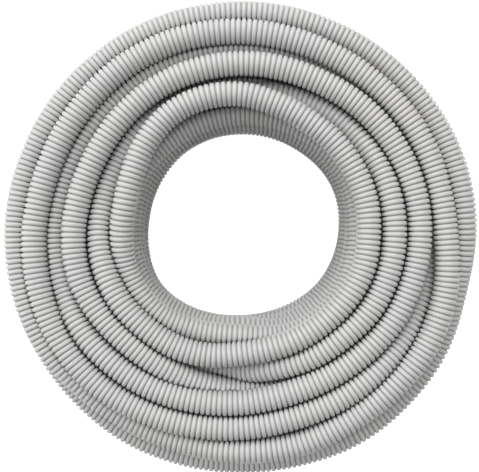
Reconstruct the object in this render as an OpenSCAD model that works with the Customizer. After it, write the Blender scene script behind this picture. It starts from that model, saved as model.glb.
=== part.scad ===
// Coil of corrugated conduit, lying flat on the floor as it comes from the shop.
// One moulded length is wound round a drum, layer on layer, so the coil is a single
// solid of revolution: its outline is the rows of round turns on the bore, on both ends
// and on the side. +Z is the coil's axis and the origin is on it, at floor level.

/* [Conduit] */
// Outside diameter over the ribs
conduit_od = 20; // [16:1:32]

/* [Winding] */
// Diameter of the open bore, the drum's own diameter
bore_d = 176; // [120:2:260]
// Layers from the floor to the top
layers = 6; // [3:1:9]
// Turns that lie side by side on each end, inside the shoulder turn
face_turns = 4; // [2:1:7]
// Slack between neighbouring turns
turn_gap = 0.6; // [0.2:0.1:2]
// How far the first turn of each end stands back from the bore
face_inset = 7.4; // [0:0.2:10]
// Slope at which the outermost turn drops off each end, in degrees
shoulder_angle = 25; // [10:1:45]
// How far the side turns stand out past the shoulder turns
side_bulge = 8; // [0:0.5:9]
// Height of the flat that the drum has pressed on each bore turn
drum_flat = 2; // [1:0.5:5]

/* [Hidden] */

// Facets of the whole ring and of one turn's section
ring_fn = 180;
turn_fn = 36;

turn_r = conduit_od / 2;
turn_step = conduit_od + turn_gap;
coil_h = conduit_od + (layers - 1) * turn_step;
floor_z = turn_r;
top_z = coil_h - turn_r;

// Bore turns: they stand in one column on the drum, whose surface cuts their flats
bore_turn_x = bore_d / 2 + sqrt(pow(turn_r, 2) - pow(drum_flat / 2, 2));
bore_turns = [for (i = [1 : layers - 2]) [bore_turn_x, floor_z + i * turn_step]];

// End turns: one flat row at height z, from the bore outwards
function end_row(z) = [for (i = [0 : face_turns - 1]) [bore_turn_x + face_inset + i * turn_step, z]];

// Shoulder turn: the outermost turn of an end, which has slipped towards the middle
shoulder_x = bore_turn_x + face_inset + (face_turns - 1) * turn_step + turn_step * cos(shoulder_angle);
shoulder_drop = turn_step * sin(shoulder_angle);

// Side turns: as many as fit between the two shoulders, evenly spread
side_span = top_z - floor_z - 2 * shoulder_drop;
side_steps = max(1, floor(side_span / turn_step));
side_turns = [for (i = [1 : 1 : side_steps - 1])
    [shoulder_x + side_bulge, floor_z + shoulder_drop + i * side_span / side_steps]];

function reversed(list) = [for (i = [len(list) - 1 : -1 : 0]) list[i]];

// Every turn that shows, in order round the wound section
outline_turns = concat(
    end_row(floor_z),
    [[shoulder_x, floor_z + shoulder_drop]],
    side_turns,
    [[shoulder_x, top_z - shoulder_drop]],
    reversed(end_row(top_z)),
    reversed(bore_turns)
);

// The wound section: the round turns on its outline, and the packed turns behind them
module wound_section() {
    difference() {
        union() {
            for (turn = outline_turns) translate(turn) circle(r = turn_r, $fn = turn_fn);
            polygon(outline_turns);
        }
        // The drum, gone from the finished coil
        square([bore_d / 2, coil_h]);
    }
}

module conduit_coil() {
    color("gainsboro") rotate_extrude($fn = ring_fn) wound_section();
}

conduit_coil();
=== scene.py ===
import math

import bpy
import numpy as np
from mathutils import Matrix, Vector


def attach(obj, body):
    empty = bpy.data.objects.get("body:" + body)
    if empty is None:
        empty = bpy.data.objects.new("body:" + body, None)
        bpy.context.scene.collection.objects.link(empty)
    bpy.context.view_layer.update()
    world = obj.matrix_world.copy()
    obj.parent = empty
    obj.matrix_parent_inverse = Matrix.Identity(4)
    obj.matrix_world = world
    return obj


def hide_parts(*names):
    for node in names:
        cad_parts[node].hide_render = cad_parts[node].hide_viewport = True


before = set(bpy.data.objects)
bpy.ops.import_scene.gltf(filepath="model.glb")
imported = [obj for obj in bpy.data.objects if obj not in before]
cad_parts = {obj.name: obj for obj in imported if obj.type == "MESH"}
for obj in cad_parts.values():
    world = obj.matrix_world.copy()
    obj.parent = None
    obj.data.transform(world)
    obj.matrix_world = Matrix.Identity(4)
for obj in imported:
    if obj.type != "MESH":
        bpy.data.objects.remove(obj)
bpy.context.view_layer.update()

# ---------------------------------------------------------------- Camera
# The camera hangs straight above the coil and looks down its axis, with the coil filling
# the frame and the floor showing through the bore.
camera_data = bpy.data.cameras.new("camera")
camera_data.lens = 41.3
camera_data.sensor_width = 36.0
camera_data.clip_end = 200.0
camera = bpy.data.objects.new("camera", camera_data)
camera.location = (-0.0010, 0.0007, 0.560)
bpy.context.collection.objects.link(camera)
bpy.context.scene.camera = camera
bpy.context.scene.view_settings.view_transform = "Standard"

# ---------------------------------------------------------------- Floor
# A plain floor of white studio paper, lit from beneath, that runs on to the horizon and
# throws no light back on the coil.
floor_half = 60.0
floor_mesh = bpy.data.meshes.new("floor")
floor_mesh.from_pydata(
    [(-floor_half, -floor_half, 0), (floor_half, -floor_half, 0),
     (floor_half, floor_half, 0), (-floor_half, floor_half, 0)],
    [], [(0, 1, 2, 3)])
floor = bpy.data.objects.new("floor", floor_mesh)
bpy.context.collection.objects.link(floor)
floor_paper = bpy.data.materials.new("floor paper")
floor_paper.use_nodes = True
paper = floor_paper.node_tree.nodes["Principled BSDF"]
paper.inputs["Base Color"].default_value = (0.93, 0.93, 0.93, 1)
paper.inputs["Roughness"].default_value = 0.9
paper.inputs["Emission Color"].default_value = (1, 1, 1, 1)
paper.inputs["Emission Strength"].default_value = 0.9
floor_mesh.materials.append(floor_paper)
floor.visible_diffuse = False


# ---------------------------------------------------------------- Light
# An even white dome over the coil, dim and a little warm below the horizon, with a soft
# key light from the back, a softbox overhead and a low panel at each side.
class Wire:
    """A node's output socket. Sums on it add Math nodes, and node() adds any other node."""

    def __init__(self, tree, socket=None):
        self.tree, self.socket = tree, socket

    def node(self, kind, settings=None, sockets=None, output=0):
        """One more node: its settings first, then the values or links of its sockets."""
        made = self.tree.nodes.new(kind)
        for key, value in (settings or {}).items():
            setattr(made, key, value)
        for key, value in (sockets or {}).items():
            if isinstance(value, Wire):
                self.tree.links.new(value.socket, made.inputs[key])
            else:
                made.inputs[key].default_value = value
        return Wire(self.tree, made.outputs[output] if len(made.outputs) else None)

    def math(self, operation, first, second=0.0):
        return self.node("ShaderNodeMath", {"operation": operation}, {0: first, 1: second})

    def feed(self, socket):
        self.tree.links.new(self.socket, socket)

    def __add__(self, other): return self.math("ADD", self, other)
    def __radd__(self, other): return self.math("ADD", other, self)
    def __sub__(self, other): return self.math("SUBTRACT", self, other)
    def __rsub__(self, other): return self.math("SUBTRACT", other, self)
    def __mul__(self, other): return self.math("MULTIPLY", self, other)
    def __rmul__(self, other): return self.math("MULTIPLY", other, self)
    def __truediv__(self, other): return self.math("DIVIDE", self, other)
    def __rtruediv__(self, other): return self.math("DIVIDE", other, self)


# A Mix node has its sockets for every kind of data in one list: these are its colours'
mix_factor, first_colour, second_colour, mixed_colour = 0, 6, 7, 2

dome_above, dome_below = (0.33, 0.33, 0.33, 1), (0.055, 0.051, 0.047, 1)
world = bpy.data.worlds.new("room")
bpy.context.scene.world = world
world.use_nodes = True
room = Wire(world.node_tree)
direction = room.node("ShaderNodeTexCoord")
slope = room.node("ShaderNodeSeparateXYZ", sockets={"Vector": direction}, output="Z")
over_horizon = room.math("GREATER_THAN", slope, 0.0)
dome = room.node("ShaderNodeMix", {"data_type": "RGBA"},
                 {mix_factor: over_horizon, first_colour: dome_below, second_colour: dome_above},
                 mixed_colour)
dome.feed(world.node_tree.nodes["Background"].inputs["Color"])

aim = Vector((0, 0, 0.05))
for name, stand, size, power in (
    ("back key", (-0.20, 1.20, 1.10), 1.1, 22.5),
    ("overhead softbox", (0.0, 0.14, 1.65), 1.1, 9.0),
    ("left panel", (-1.48, 0.0, 0.65), 0.9, 13.0),
    ("right panel", (1.48, 0.0, 0.65), 0.9, 4.0),
):
    lamp_data = bpy.data.lights.new(name, "AREA")
    lamp_data.size = size
    lamp_data.energy = power
    lamp = bpy.data.objects.new(name, lamp_data)
    lamp.location = stand
    lamp.rotation_euler = (aim - Vector(stand)).to_track_quat("-Z", "Y").to_euler()
    bpy.context.collection.objects.link(lamp)

# ---------------------------------------------------------------- The conduit's course
# One moulded length of conduit, coiled on a drum and kept round by its own set: up the side
# of the coil, over the top from the rim inwards, to and fro through the core, out again
# beside the bore, down the bore and outwards under the coil.
conduit_od = 0.020
rib_pitch = 0.0043
top_z = 0.113
turn = 360
core_start, core_end = 7 * turn + 315, 16 * turn + 225
bore_start, under_start = 18 * turn + 240, 22 * turn + 240
stop_gap = 30
stops = []


def lay(start, stops_of_turn):
    """Adds stops on the course. Each is its angle in degrees, counted on from start, and its
    radius and its drop below the top layer, both in conduit diameters."""
    for angle, radius, drop in stops_of_turn:
        stops.append((start + angle, radius, drop))


# Side: a short lead-in, then four laps, each climbing to the next at the same angle
side_laps = [(9.29, 4.72), (9.68, 3.6), (9.68, 2.5)]
lay(0, [(-10, *side_laps[0])])
for lap, (radius, drop) in enumerate(side_laps):
    lay(lap * turn, [(angle, radius, drop) for angle in range(0, turn, stop_gap)])
lay(3 * turn, [
    (0, 9.67, 1.4), (60, 9.67, 1.38), (120, 9.67, 1.38), (180, 9.67, 1.42), (210, 9.67, 1.45),
    (225, 9.67, 1.42), (240, 9.67, 1.3), (255, 9.65, 1.3), (270, 9.6, 1.2), (285, 9.54, 0.98),
    (300, 9.6, 0.9), (315, 9.65, 1.1), (330, 9.67, 1.25), (345, 9.35, 0.9)])

# Top, first and second lap from the rim
lay(4 * turn, [
    (0, 9.23, 0.43), (30, 9.28, 0.43), (60, 9.27, 0.43), (90, 9.27, 0.43), (120, 9.27, 0.43),
    (150, 9.25, 0.43), (180, 9.3, 0.43), (210, 9.2, 0.45), (225, 9.0, 0.55), (240, 8.9, 0.6),
    (255, 8.8, 0.45), (270, 8.75, 0.15), (285, 8.76, 0.05), (300, 8.66, 0), (315, 8.68, 0),
    (330, 8.74, 0), (345, 8.61, 0)])
lay(5 * turn, [
    (0, 8.34, 0), (30, 8.3, 0), (60, 8.25, 0), (90, 8.35, 0), (105, 8.4, 0), (120, 8.4, 0),
    (150, 8.3, 0), (165, 8.3, 0), (180, 8.4, 0), (195, 8.45, 0), (210, 8.45, 0), (225, 8.35, 0),
    (240, 8.1, 0), (255, 7.9, 0), (270, 7.75, 0), (285, 7.65, 0), (300, 7.7, 0),
    (315, 7.8, 0.12), (330, 7.95, 0.5), (345, 8.05, 0.98)])

# Top, third and fourth lap, the fourth dipping under its neighbour and into the core
lay(6 * turn, [
    (0, 8.05, 1.08), (30, 8.05, 1.05), (60, 7.95, 0.88), (90, 7.9, 0.76), (120, 7.85, 0.7),
    (135, 7.78, 0.66), (150, 7.75, 0.62), (165, 7.75, 0.62), (180, 7.8, 0.6), (195, 7.7, 0.5),
    (210, 7.55, 0.15), (225, 7.3, 0), (240, 7.1, 0), (255, 6.9, 0), (270, 6.75, 0),
    (285, 6.65, 0), (300, 6.7, 0), (315, 6.85, 0), (330, 7.05, 0), (345, 7.17, 0)])
lay(7 * turn, [
    (0, 7.27, 0), (30, 7.28, 0), (45, 7.22, 0), (60, 7.1, 0), (90, 7.05, 0), (120, 6.95, 0),
    (135, 6.85, 0), (150, 6.75, 0), (165, 6.75, 0), (180, 6.8, 0), (195, 6.75, 0),
    (210, 6.5, 0), (225, 6.26, 0), (240, 6.2, 0.15), (255, 6.29, 0.46), (270, 6.5, 0.72),
    (285, 6.75, 0.9), (300, 6.98, 1.06), (330, 7.4, 1.3)])

# Core: nine laps, down beside the side turns, back through the middle, up beside the bore,
# each given by its place between bore and rim and its row. The first passes close under the
# rim, where the two laps over it part.
core_laps = [(1, 0), (1, 1), (1, 2), (0.5, 2), (0, 2), (0, 1), (0.5, 1), (0.5, 0), (0, 0)]
core_drops = (2.0, 3.05, 4.1)
core_rim, core_bore, bore_shift = 8.6, 6.12, (0.12, 0.56)
first_rise = {240: 0.4, 270: 0.8, 300: 0.9, 330: 0.8}
for lap, (across, row) in enumerate(core_laps):
    lap_end = core_end % turn if lap == len(core_laps) - 1 else turn
    for angle in range(stop_gap, lap_end, stop_gap):
        beside_bore = (core_bore + bore_shift[0] * math.cos(math.radians(angle))
                       + bore_shift[1] * math.sin(math.radians(angle)))
        radius = beside_bore + across * (core_rim - beside_bore)
        rise = first_rise.get(angle, 0) if lap == 0 else 0
        lay((8 + lap) * turn, [(angle, radius, core_drops[row] - rise)])

# Top, fifth and sixth lap: out of the core, round the bore, then down into it
lay(16 * turn, [
    (240, 5.85, 1.7), (255, 5.8, 1.45), (270, 5.7, 1.02), (285, 5.62, 0.45), (300, 5.7, 0.15),
    (315, 5.8, 0), (330, 6.04, 0), (345, 6.17, 0)])
lay(17 * turn, [
    (0, 6.25, 0), (15, 6.3, 0.05), (30, 6.35, 0.3), (45, 6.35, 0.6), (60, 6.3, 0.76),
    (75, 6.2, 0.92), (90, 6.1, 1.05), (105, 6.1, 1.1), (120, 6.2, 1.04), (135, 6.2, 0.8),
    (150, 6.05, 0.75), (165, 5.93, 0.6), (180, 5.85, 0.34), (195, 5.72, 0.12), (210, 5.55, 0),
    (225, 5.35, 0.02), (240, 5.2, 0.06), (255, 5.0, 0.1), (270, 4.76, 0.08), (285, 4.7, 0.02),
    (300, 4.75, 0), (315, 4.85, 0), (330, 5.0, 0), (345, 5.15, 0)])
lay(18 * turn, [
    (0, 5.2, 0), (15, 5.3, 0), (30, 5.35, 0), (45, 5.4, 0), (60, 5.45, 0), (75, 5.6, 0),
    (90, 5.8, 0), (105, 5.85, 0), (120, 5.75, 0), (135, 5.45, 0), (150, 5.1, 0),
    (165, 4.9, 0.05), (180, 4.9, 0.26), (195, 4.95, 0.52), (210, 4.88, 0.65), (225, 4.72, 0.76)])

# Bore: four laps down the wall, each stepping down on the left
bore_radii = [
    (4.45, 4.2, 4.69, 4.99, 5.12, 5.37, 5.36, 5.33, 5.25, 5.16, 4.93, 4.85),
    (4.45, 4.02, 4.61, 4.96, 5.12, 5.41, 5.37, 5.32, 5.25, 5.15, 4.95, 4.85),
    (4.37, 4.15, 4.51, 4.91, 5.11, 5.46, 5.43, 5.35, 5.2, 5.13, 4.96, 4.9),
    (4.5, 4.26, 4.38, 4.81, 5.17, 5.49, 5.46, 5.43, 5.36, 5.08, 4.94, 5.0)]
bore_drops = [
    (0.88, 0.95, 1.0, 1.05, 1.05, 1.05, 1.2, 1.45, 1.45, 1.2, 1.25, 1.7),
    (1.95, 2.0, 2.1, 2.1, 2.1, 2.1, 2.2, 2.4, 2.4, 2.2, 2.25, 2.75),
    (3.1, 3.15, 3.15, 3.15, 3.15, 3.15, 3.2, 3.3, 3.3, 3.2, 3.25, 3.65),
    (4.1, 4.15, 4.15, 4.15, 4.15, 4.15, 4.15, 4.2, 4.2, 4.15, 4.2, 4.65)]
for lap, stops_of_lap in enumerate(zip(bore_radii, bore_drops)):
    lay(bore_start + lap * turn,
        [(stop_gap * step, *stop) for step, stop in enumerate(zip(*stops_of_lap))])

# Underside: four laps on the floor, each stepping outwards on the left, to the inner end
under_inner = (4.67, 4.41, 4.54, 4.98, 5.36, 5.69, 5.66, 5.63, 5.55, 5.27, 5.13, 5.15)
under_rim, under_drop, under_laps = 8.36, 5.15, 4
lap_stops = turn // stop_gap
for step in range(under_laps * lap_stops - 1):
    lap, stop = divmod(step, lap_stops)
    outwards = (lap + max(0.0, (stop - lap_stops + 2) / 2)) / (under_laps - 1)
    radius = under_inner[stop] + (under_rim - under_inner[stop]) * outwards
    lay(under_start, [(stop_gap * step, radius, under_drop)])

stops = np.array(stops)
end_angle = stops[-1, 0]


def smooth_through(x, knots, values):
    """A smooth curve through the stops, with each stop's slope taken from its neighbours."""
    slopes = np.gradient(values, knots)
    i = np.clip(np.searchsorted(knots, x) - 1, 0, len(knots) - 2)
    span = knots[i + 1] - knots[i]
    t = (x - knots[i]) / span
    return ((1 + 2 * t) * (1 - t) ** 2 * values[i] + t * (1 - t) ** 2 * span * slopes[i]
            + t * t * (3 - 2 * t) * values[i + 1] + t * t * (t - 1) * span * slopes[i + 1])


angles = np.arange(stops[0, 0], end_angle, 1.0)
radii = conduit_od * smooth_through(angles, stops[:, 0], stops[:, 1])
drops = np.clip(smooth_through(angles, stops[:, 0], stops[:, 2]), 0.0, under_drop)
course = np.stack([radii * np.cos(np.radians(angles)), radii * np.sin(np.radians(angles)),
                   top_z - conduit_od * drops], axis=1)
run = np.concatenate([[0], np.cumsum(np.linalg.norm(np.diff(course, axis=0), axis=1))])


def point_at(distance):
    """The centre line's point that far along the conduit."""
    return np.stack([np.interp(distance, run, course[:, k]) for k in range(3)], axis=-1)


def rib_at(angle):
    """The number of the rib at that angle of the course."""
    return round(float(np.interp(angle, angles, run)) / rib_pitch)


# ---------------------------------------------------------------- The conduit's plastic
# Light-grey moulded plastic with a soft sheen: faintly cloudy, with painted shade that darkens
# the grooves and painted shade, nearly black, where two turns touch, and with the two fine
# seams that its mould blocks leave.
warm_grey, cool_grey = (0.475, 0.470, 0.458, 1), (0.46, 0.465, 0.462, 1)
# The two colours of painted shade: in the grooves, and where two turns touch
groove_shade_grey, touch_shade_grey = (0.10, 0.10, 0.097, 1), (0.015, 0.015, 0.015, 1)
conduit_plastic = bpy.data.materials.new("conduit plastic")
conduit_plastic.use_nodes = True
plastic = conduit_plastic.node_tree.nodes["Principled BSDF"]
skin = Wire(conduit_plastic.node_tree)
place = skin.node("ShaderNodeTexCoord", output="Object")
groove = skin.node("ShaderNodeAttribute", {"attribute_name": "groove"}, output="Fac")
# The share of painted shade where two turns touch, made by the ribs' nodes
contact = skin.node("ShaderNodeAttribute", {"attribute_name": "contact"}, output="Fac")
seam_side = skin.node("ShaderNodeAttribute", {"attribute_name": "seam_side"}, output="Fac")

cloud = skin.node("ShaderNodeTexNoise", sockets={"Vector": place, "Scale": 14.0, "Detail": 3.0})
grain = skin.node("ShaderNodeTexNoise", sockets={"Vector": place, "Scale": 700.0, "Detail": 2.0})
scuff = skin.node("ShaderNodeTexNoise",
                  sockets={"Vector": place, "Scale": 90.0, "Detail": 4.0, "Roughness": 0.65})
cloudy = skin.node("ShaderNodeMapRange", sockets={
    "Value": cloud, "From Min": 0.35, "From Max": 0.65, "To Min": 0.0, "To Max": 1.0})
touch_shading = skin.node("ShaderNodeMapRange", {"interpolation_type": "SMOOTHSTEP"}, {
    "Value": contact, "From Min": 0.05, "From Max": 0.75, "To Min": 0.0, "To Max": 0.96})
seam = skin.node("ShaderNodeMapRange", {"interpolation_type": "SMOOTHSTEP"}, {
    "Value": skin.math("ABSOLUTE", seam_side),
    "From Min": 0.012, "From Max": 0.035, "To Min": 1.0, "To Max": 0.0})

coloured = skin.node("ShaderNodeMix", {"data_type": "RGBA"},
                     {mix_factor: cloudy, first_colour: warm_grey, second_colour: cool_grey},
                     mixed_colour)
# Painted shade: the colour darkens in the grooves, by the groove's depth
groove_shaded = skin.node("ShaderNodeMix", {"data_type": "RGBA"},
                    {mix_factor: groove * 0.45, first_colour: coloured,
                     second_colour: groove_shade_grey}, mixed_colour)
# Painted shade: the colour goes nearly black where two turns touch
touch_shaded = skin.node("ShaderNodeMix", {"data_type": "RGBA"},
                    {mix_factor: touch_shading * (0.72 + 0.28 * groove), first_colour: groove_shaded,
                     second_colour: touch_shade_grey}, mixed_colour)
touch_shaded.feed(plastic.inputs["Base Color"])
(0.5 + 0.12 * groove + 0.14 * (scuff - 0.5)).feed(plastic.inputs["Roughness"])
relief = skin.node("ShaderNodeBump", sockets={
    "Strength": 0.25, "Distance": 0.0002, "Height": 0.35 * grain + 0.8 * seam})
relief.feed(plastic.inputs["Normal"])

# ---------------------------------------------------------------- The conduit's ribs
# The conduit's wall is blown into round ribs against a running chain of mould blocks, so
# each rib is alike: a full round top, sloping sides and a narrow groove to the next.
groove_depth = 0.0018
shoulder = 0.22
rings_per_rib, marks_per_rib = 6, 2
rib_reach, groove_reach = 0.0007, 0.0030
rib_tree = bpy.data.node_groups.new("ribbed conduit", "GeometryNodeTree")
rib_tree.is_modifier = True
rib_tree.interface.new_socket("Geometry", in_out="OUTPUT", socket_type="NodeSocketGeometry")
rib_inputs = {}
for name, kind in (("Course", "Geometry"), ("Whole course", "Object"), ("Rib pitch", "Float"),
                   ("Outer radius", "Float"), ("Groove depth", "Float"),
                   ("Facets round", "Int"), ("Finish", "Material")):
    rib_inputs[name] = rib_tree.interface.new_socket(
        name, in_out="INPUT", socket_type="NodeSocket" + kind).identifier

ribbing = Wire(rib_tree)
entry = rib_tree.nodes.new("NodeGroupInput")
given = {name: Wire(rib_tree, entry.outputs[name]) for name in rib_inputs}
length = ribbing.node("GeometryNodeCurveLength", sockets={"Curve": given["Course"]})
rib_count = ribbing.math("ROUND", length / given["Rib pitch"])
spaced = ribbing.node("GeometryNodeResampleCurve", {"mode": "COUNT"},
                      {"Curve": given["Course"], "Count": rings_per_rib * rib_count + 1})
ring = ribbing.node("FunctionNodeIntegerMath", {"operation": "MODULO"},
                    {0: ribbing.node("GeometryNodeInputIndex"), 1: rings_per_rib})


def per_ring(values):
    """A number for each ring of a rib, by the ring's place in it."""
    chooser = rib_tree.nodes.new("GeometryNodeIndexSwitch")
    chooser.data_type = "FLOAT"
    while len(chooser.index_switch_items) < len(values):
        chooser.index_switch_items.new()
    ring.feed(chooser.inputs["Index"])
    for k, value in enumerate(values):
        chooser.inputs[1 + k].default_value = value
    return Wire(rib_tree, chooser.outputs[0])


def stored(geometry, name, value, kind="FLOAT"):
    """The geometry with a named value at each of its points."""
    return ribbing.node("GeometryNodeStoreNamedAttribute", {"data_type": kind, "domain": "POINT"},
                        {"Geometry": geometry, "Name": name, "Value": value})


# Two rings at the groove's bottom, then shoulder, two on the top, shoulder: the depth of
# each as a share of the groove's, and its slide along the conduit in rib pitches
groove_share = per_ring((1.0, 1.0, shoulder, 0.0, 0.0, shoulder))
ring_slide = per_ring((-0.045, -0.122, -0.163, -0.170, 0.003, -0.003)) * given["Rib pitch"]
ring_radius = given["Outer radius"] - groove_share * given["Groove depth"]
along = ribbing.node("GeometryNodeInputTangent")
slide = ribbing.node("ShaderNodeVectorMath", {"operation": "SCALE"},
                     {0: along, "Scale": ring_slide})
moved = ribbing.node("GeometryNodeSetPosition", sockets={"Geometry": spaced, "Offset": slide})
guide_line = stored(stored(moved, "groove", groove_share),
                    "heart", ribbing.node("GeometryNodeInputPosition"), "FLOAT_VECTOR")
circle = ribbing.node("GeometryNodeCurvePrimitiveCircle", {"mode": "RADIUS"},
                      {"Resolution": given["Facets round"], "Radius": 1.0})
sideways = ribbing.node("ShaderNodeSeparateXYZ",
                        sockets={"Vector": ribbing.node("GeometryNodeInputPosition")}, output="Y")
wall = ribbing.node("GeometryNodeCurveToMesh", sockets={
    "Curve": guide_line, "Profile Curve": stored(circle, "seam_side", sideways),
    "Scale": ring_radius, "Fill Caps": True})

# Painted shade where another turn comes near: a probe just off the wall, and how much nearer it
# is to some other stretch of the course than to its own, kept as the share of painted shade
# in the plastic's colour. It reaches further from a groove.
heart = ribbing.node("GeometryNodeInputNamedAttribute", {"data_type": "FLOAT_VECTOR"},
                     {"Name": "heart"})
outwards = ribbing.node("ShaderNodeVectorMath", {"operation": "SUBTRACT"},
                        {0: ribbing.node("GeometryNodeInputPosition"), 1: heart})
outwards = ribbing.node("ShaderNodeVectorMath", {"operation": "NORMALIZE"}, {0: outwards})
groove_here = ribbing.node("GeometryNodeInputNamedAttribute", {"data_type": "FLOAT"},
                           {"Name": "groove"})
reach = rib_reach + (groove_reach - rib_reach) * groove_here
own_distance = given["Outer radius"] + reach
probe = ribbing.node("ShaderNodeVectorMath", {"operation": "SCALE"},
                     {0: outwards, "Scale": own_distance})
probe = ribbing.node("ShaderNodeVectorMath", {"operation": "ADD"}, {0: heart, 1: probe})
others = ribbing.node("GeometryNodeObjectInfo", sockets={"Object": given["Whole course"]},
                      output="Geometry")
nearest = ribbing.node("GeometryNodeProximity", {"target_element": "EDGES"},
                       {0: others, "Sample Position": probe}, output="Distance")
contact_shade_share = ribbing.node("ShaderNodeClamp",
                             sockets={"Value": (own_distance - nearest) / (2 * reach)})
soft = ribbing.node("GeometryNodeSetShadeSmooth", sockets={
    "Geometry": stored(wall, "contact", contact_shade_share), "Shade Smooth": True})
real = ribbing.node("GeometryNodeRealizeInstances", sockets={"Geometry": soft})
coated = ribbing.node("GeometryNodeSetMaterial",
                      sockets={"Geometry": real, "Material": given["Finish"]})
ribbing.node("NodeGroupOutput", sockets={"Geometry": coated})

whole_mesh = bpy.data.meshes.new("whole course")
whole_mesh.from_pydata(course.tolist(), [(k, k + 1) for k in range(len(course) - 1)], [])
whole_course = bpy.data.objects.new("whole course", whole_mesh)
bpy.context.collection.objects.link(whole_course)


def keep_stretch(name, mesh):
    """Puts a finished stretch of the conduit in the scene, in place of the CAD solid."""
    piece = bpy.data.objects.new(name, mesh)
    bpy.context.collection.objects.link(piece)
    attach(piece, "root")
    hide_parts("conduit_coil")


def ribbed(name, first, last, facets):
    """Makes the stretch of conduit between two of its ribs, as one plain mesh."""
    marks = np.linspace(first, last, (last - first) * marks_per_rib + 1) * rib_pitch
    line = bpy.data.curves.new(name, "CURVE")
    line.dimensions = "3D"
    spline = line.splines.new("POLY")
    spline.points.add(len(marks) - 1)
    spline.points.foreach_set("co", np.c_[point_at(marks), np.ones(len(marks))].ravel())
    guide = bpy.data.objects.new(name + " course", line)
    bpy.context.collection.objects.link(guide)
    maker = guide.modifiers.new("ribs", "NODES")
    maker.node_group = rib_tree
    for key, value in (("Whole course", whole_course), ("Rib pitch", rib_pitch),
                       ("Outer radius", conduit_od / 2), ("Groove depth", groove_depth),
                       ("Facets round", facets), ("Finish", conduit_plastic)):
        maker[rib_inputs[key]] = value
    depsgraph = bpy.context.evaluated_depsgraph_get()
    mesh = bpy.data.meshes.new_from_object(guide.evaluated_get(depsgraph))
    bpy.data.objects.remove(guide)
    mesh.attributes.remove(mesh.attributes["heart"])
    mesh.name = name
    keep_stretch(name, mesh)


# The last few ribs are left for the cut ends. Turns that show less have fewer facets round.
end_ribs = 6
outer_rib = rib_at(-2) + end_ribs
inner_rib = rib_at(end_angle - 1) - end_ribs
ribbed("side_turns_low", outer_rib, rib_at(2 * turn), 16)
ribbed("side_turns_high", rib_at(2 * turn), rib_at(4 * turn), 16)
ribbed("top_turns_rim", rib_at(4 * turn), rib_at(6 * turn), 22)
ribbed("top_turns_middle", rib_at(6 * turn), rib_at(core_start), 22)
ribbed("core_turns_rim", rib_at(core_start), rib_at(11 * turn), 8)
ribbed("core_turns_middle", rib_at(11 * turn), rib_at(core_end), 6)
ribbed("top_turns_bore", rib_at(core_end), rib_at(bore_start), 22)
ribbed("bore_turns", rib_at(bore_start), rib_at(under_start), 18)
ribbed("floor_turns", rib_at(under_start), inner_rib, 16)
bpy.data.objects.remove(whole_course)

# ---------------------------------------------------------------- The conduit's cut ends
# The conduit's two ends are cut square through a rib with a saw and left open, so the thin
# wall and the same ribs inside show. Each is the last few ribs, made hollow.
wall_thickness = 0.0008
end_facets = 32
look_ahead = 0.001
rib_profile = ((0.045, 1.0), (0.17, shoulder), (0.33, 0.0), (0.67, 0.0), (0.83, shoulder),
               (0.955, 1.0))


def cut_end(name, rib, back):
    """Makes an open end that starts at that rib's groove; back is -1 or 1, the way out along
    the course. Its profile runs on the outside to the saw cut in the last rib, and back inside."""
    outside = [(0.0, 1.0)]
    for k in range(end_ribs):
        outside += [(k + at, share) for at, share in rib_profile]
    outside = outside[:-3] + [(end_ribs - 0.5, 0.0)]
    profile = [(at * rib_pitch, conduit_od / 2 - share * groove_depth, share)
               for at, share in outside]
    profile += [(at, radius - wall_thickness, share) for at, radius, share in profile[:0:-1]]
    points, grooves, sides = [], [], []
    for at, radius, share in profile:
        distance = rib * rib_pitch + back * at
        here = point_at(distance)
        ahead = point_at(distance + look_ahead) - point_at(distance - look_ahead)
        ahead /= np.linalg.norm(ahead)
        level = np.cross(ahead, (0.0, 0.0, 1.0))
        level /= np.linalg.norm(level)
        upright = np.cross(level, ahead)
        for facet in range(end_facets):
            a = 2 * math.pi * facet / end_facets
            points.append(here + radius * (math.cos(a) * level + math.sin(a) * upright))
            grooves.append(share)
            sides.append(math.sin(a))
    count = len(profile)
    faces = [(r * end_facets + f, r * end_facets + (f + 1) % end_facets,
              (r + 1) * end_facets + (f + 1) % end_facets, (r + 1) * end_facets + f)
             for r in range(count - 1) for f in range(end_facets)]
    faces.append(tuple(reversed(range(end_facets))))
    faces.append(tuple(range((count - 1) * end_facets, count * end_facets)))
    if back > 0:
        faces = [tuple(reversed(face)) for face in faces]
    mesh = bpy.data.meshes.new(name)
    mesh.from_pydata([tuple(p) for p in points], [], faces)
    for key, values in (("groove", grooves), ("seam_side", sides)):
        mesh.attributes.new(key, "FLOAT", "POINT").data.foreach_set("value", values)
    mesh.shade_smooth()
    mesh.set_sharp_from_angle(angle=math.radians(60))
    mesh.materials.append(conduit_plastic)
    keep_stretch(name, mesh)


cut_end("outer_end", outer_rib, -1)
cut_end("inner_end", inner_rib, 1)
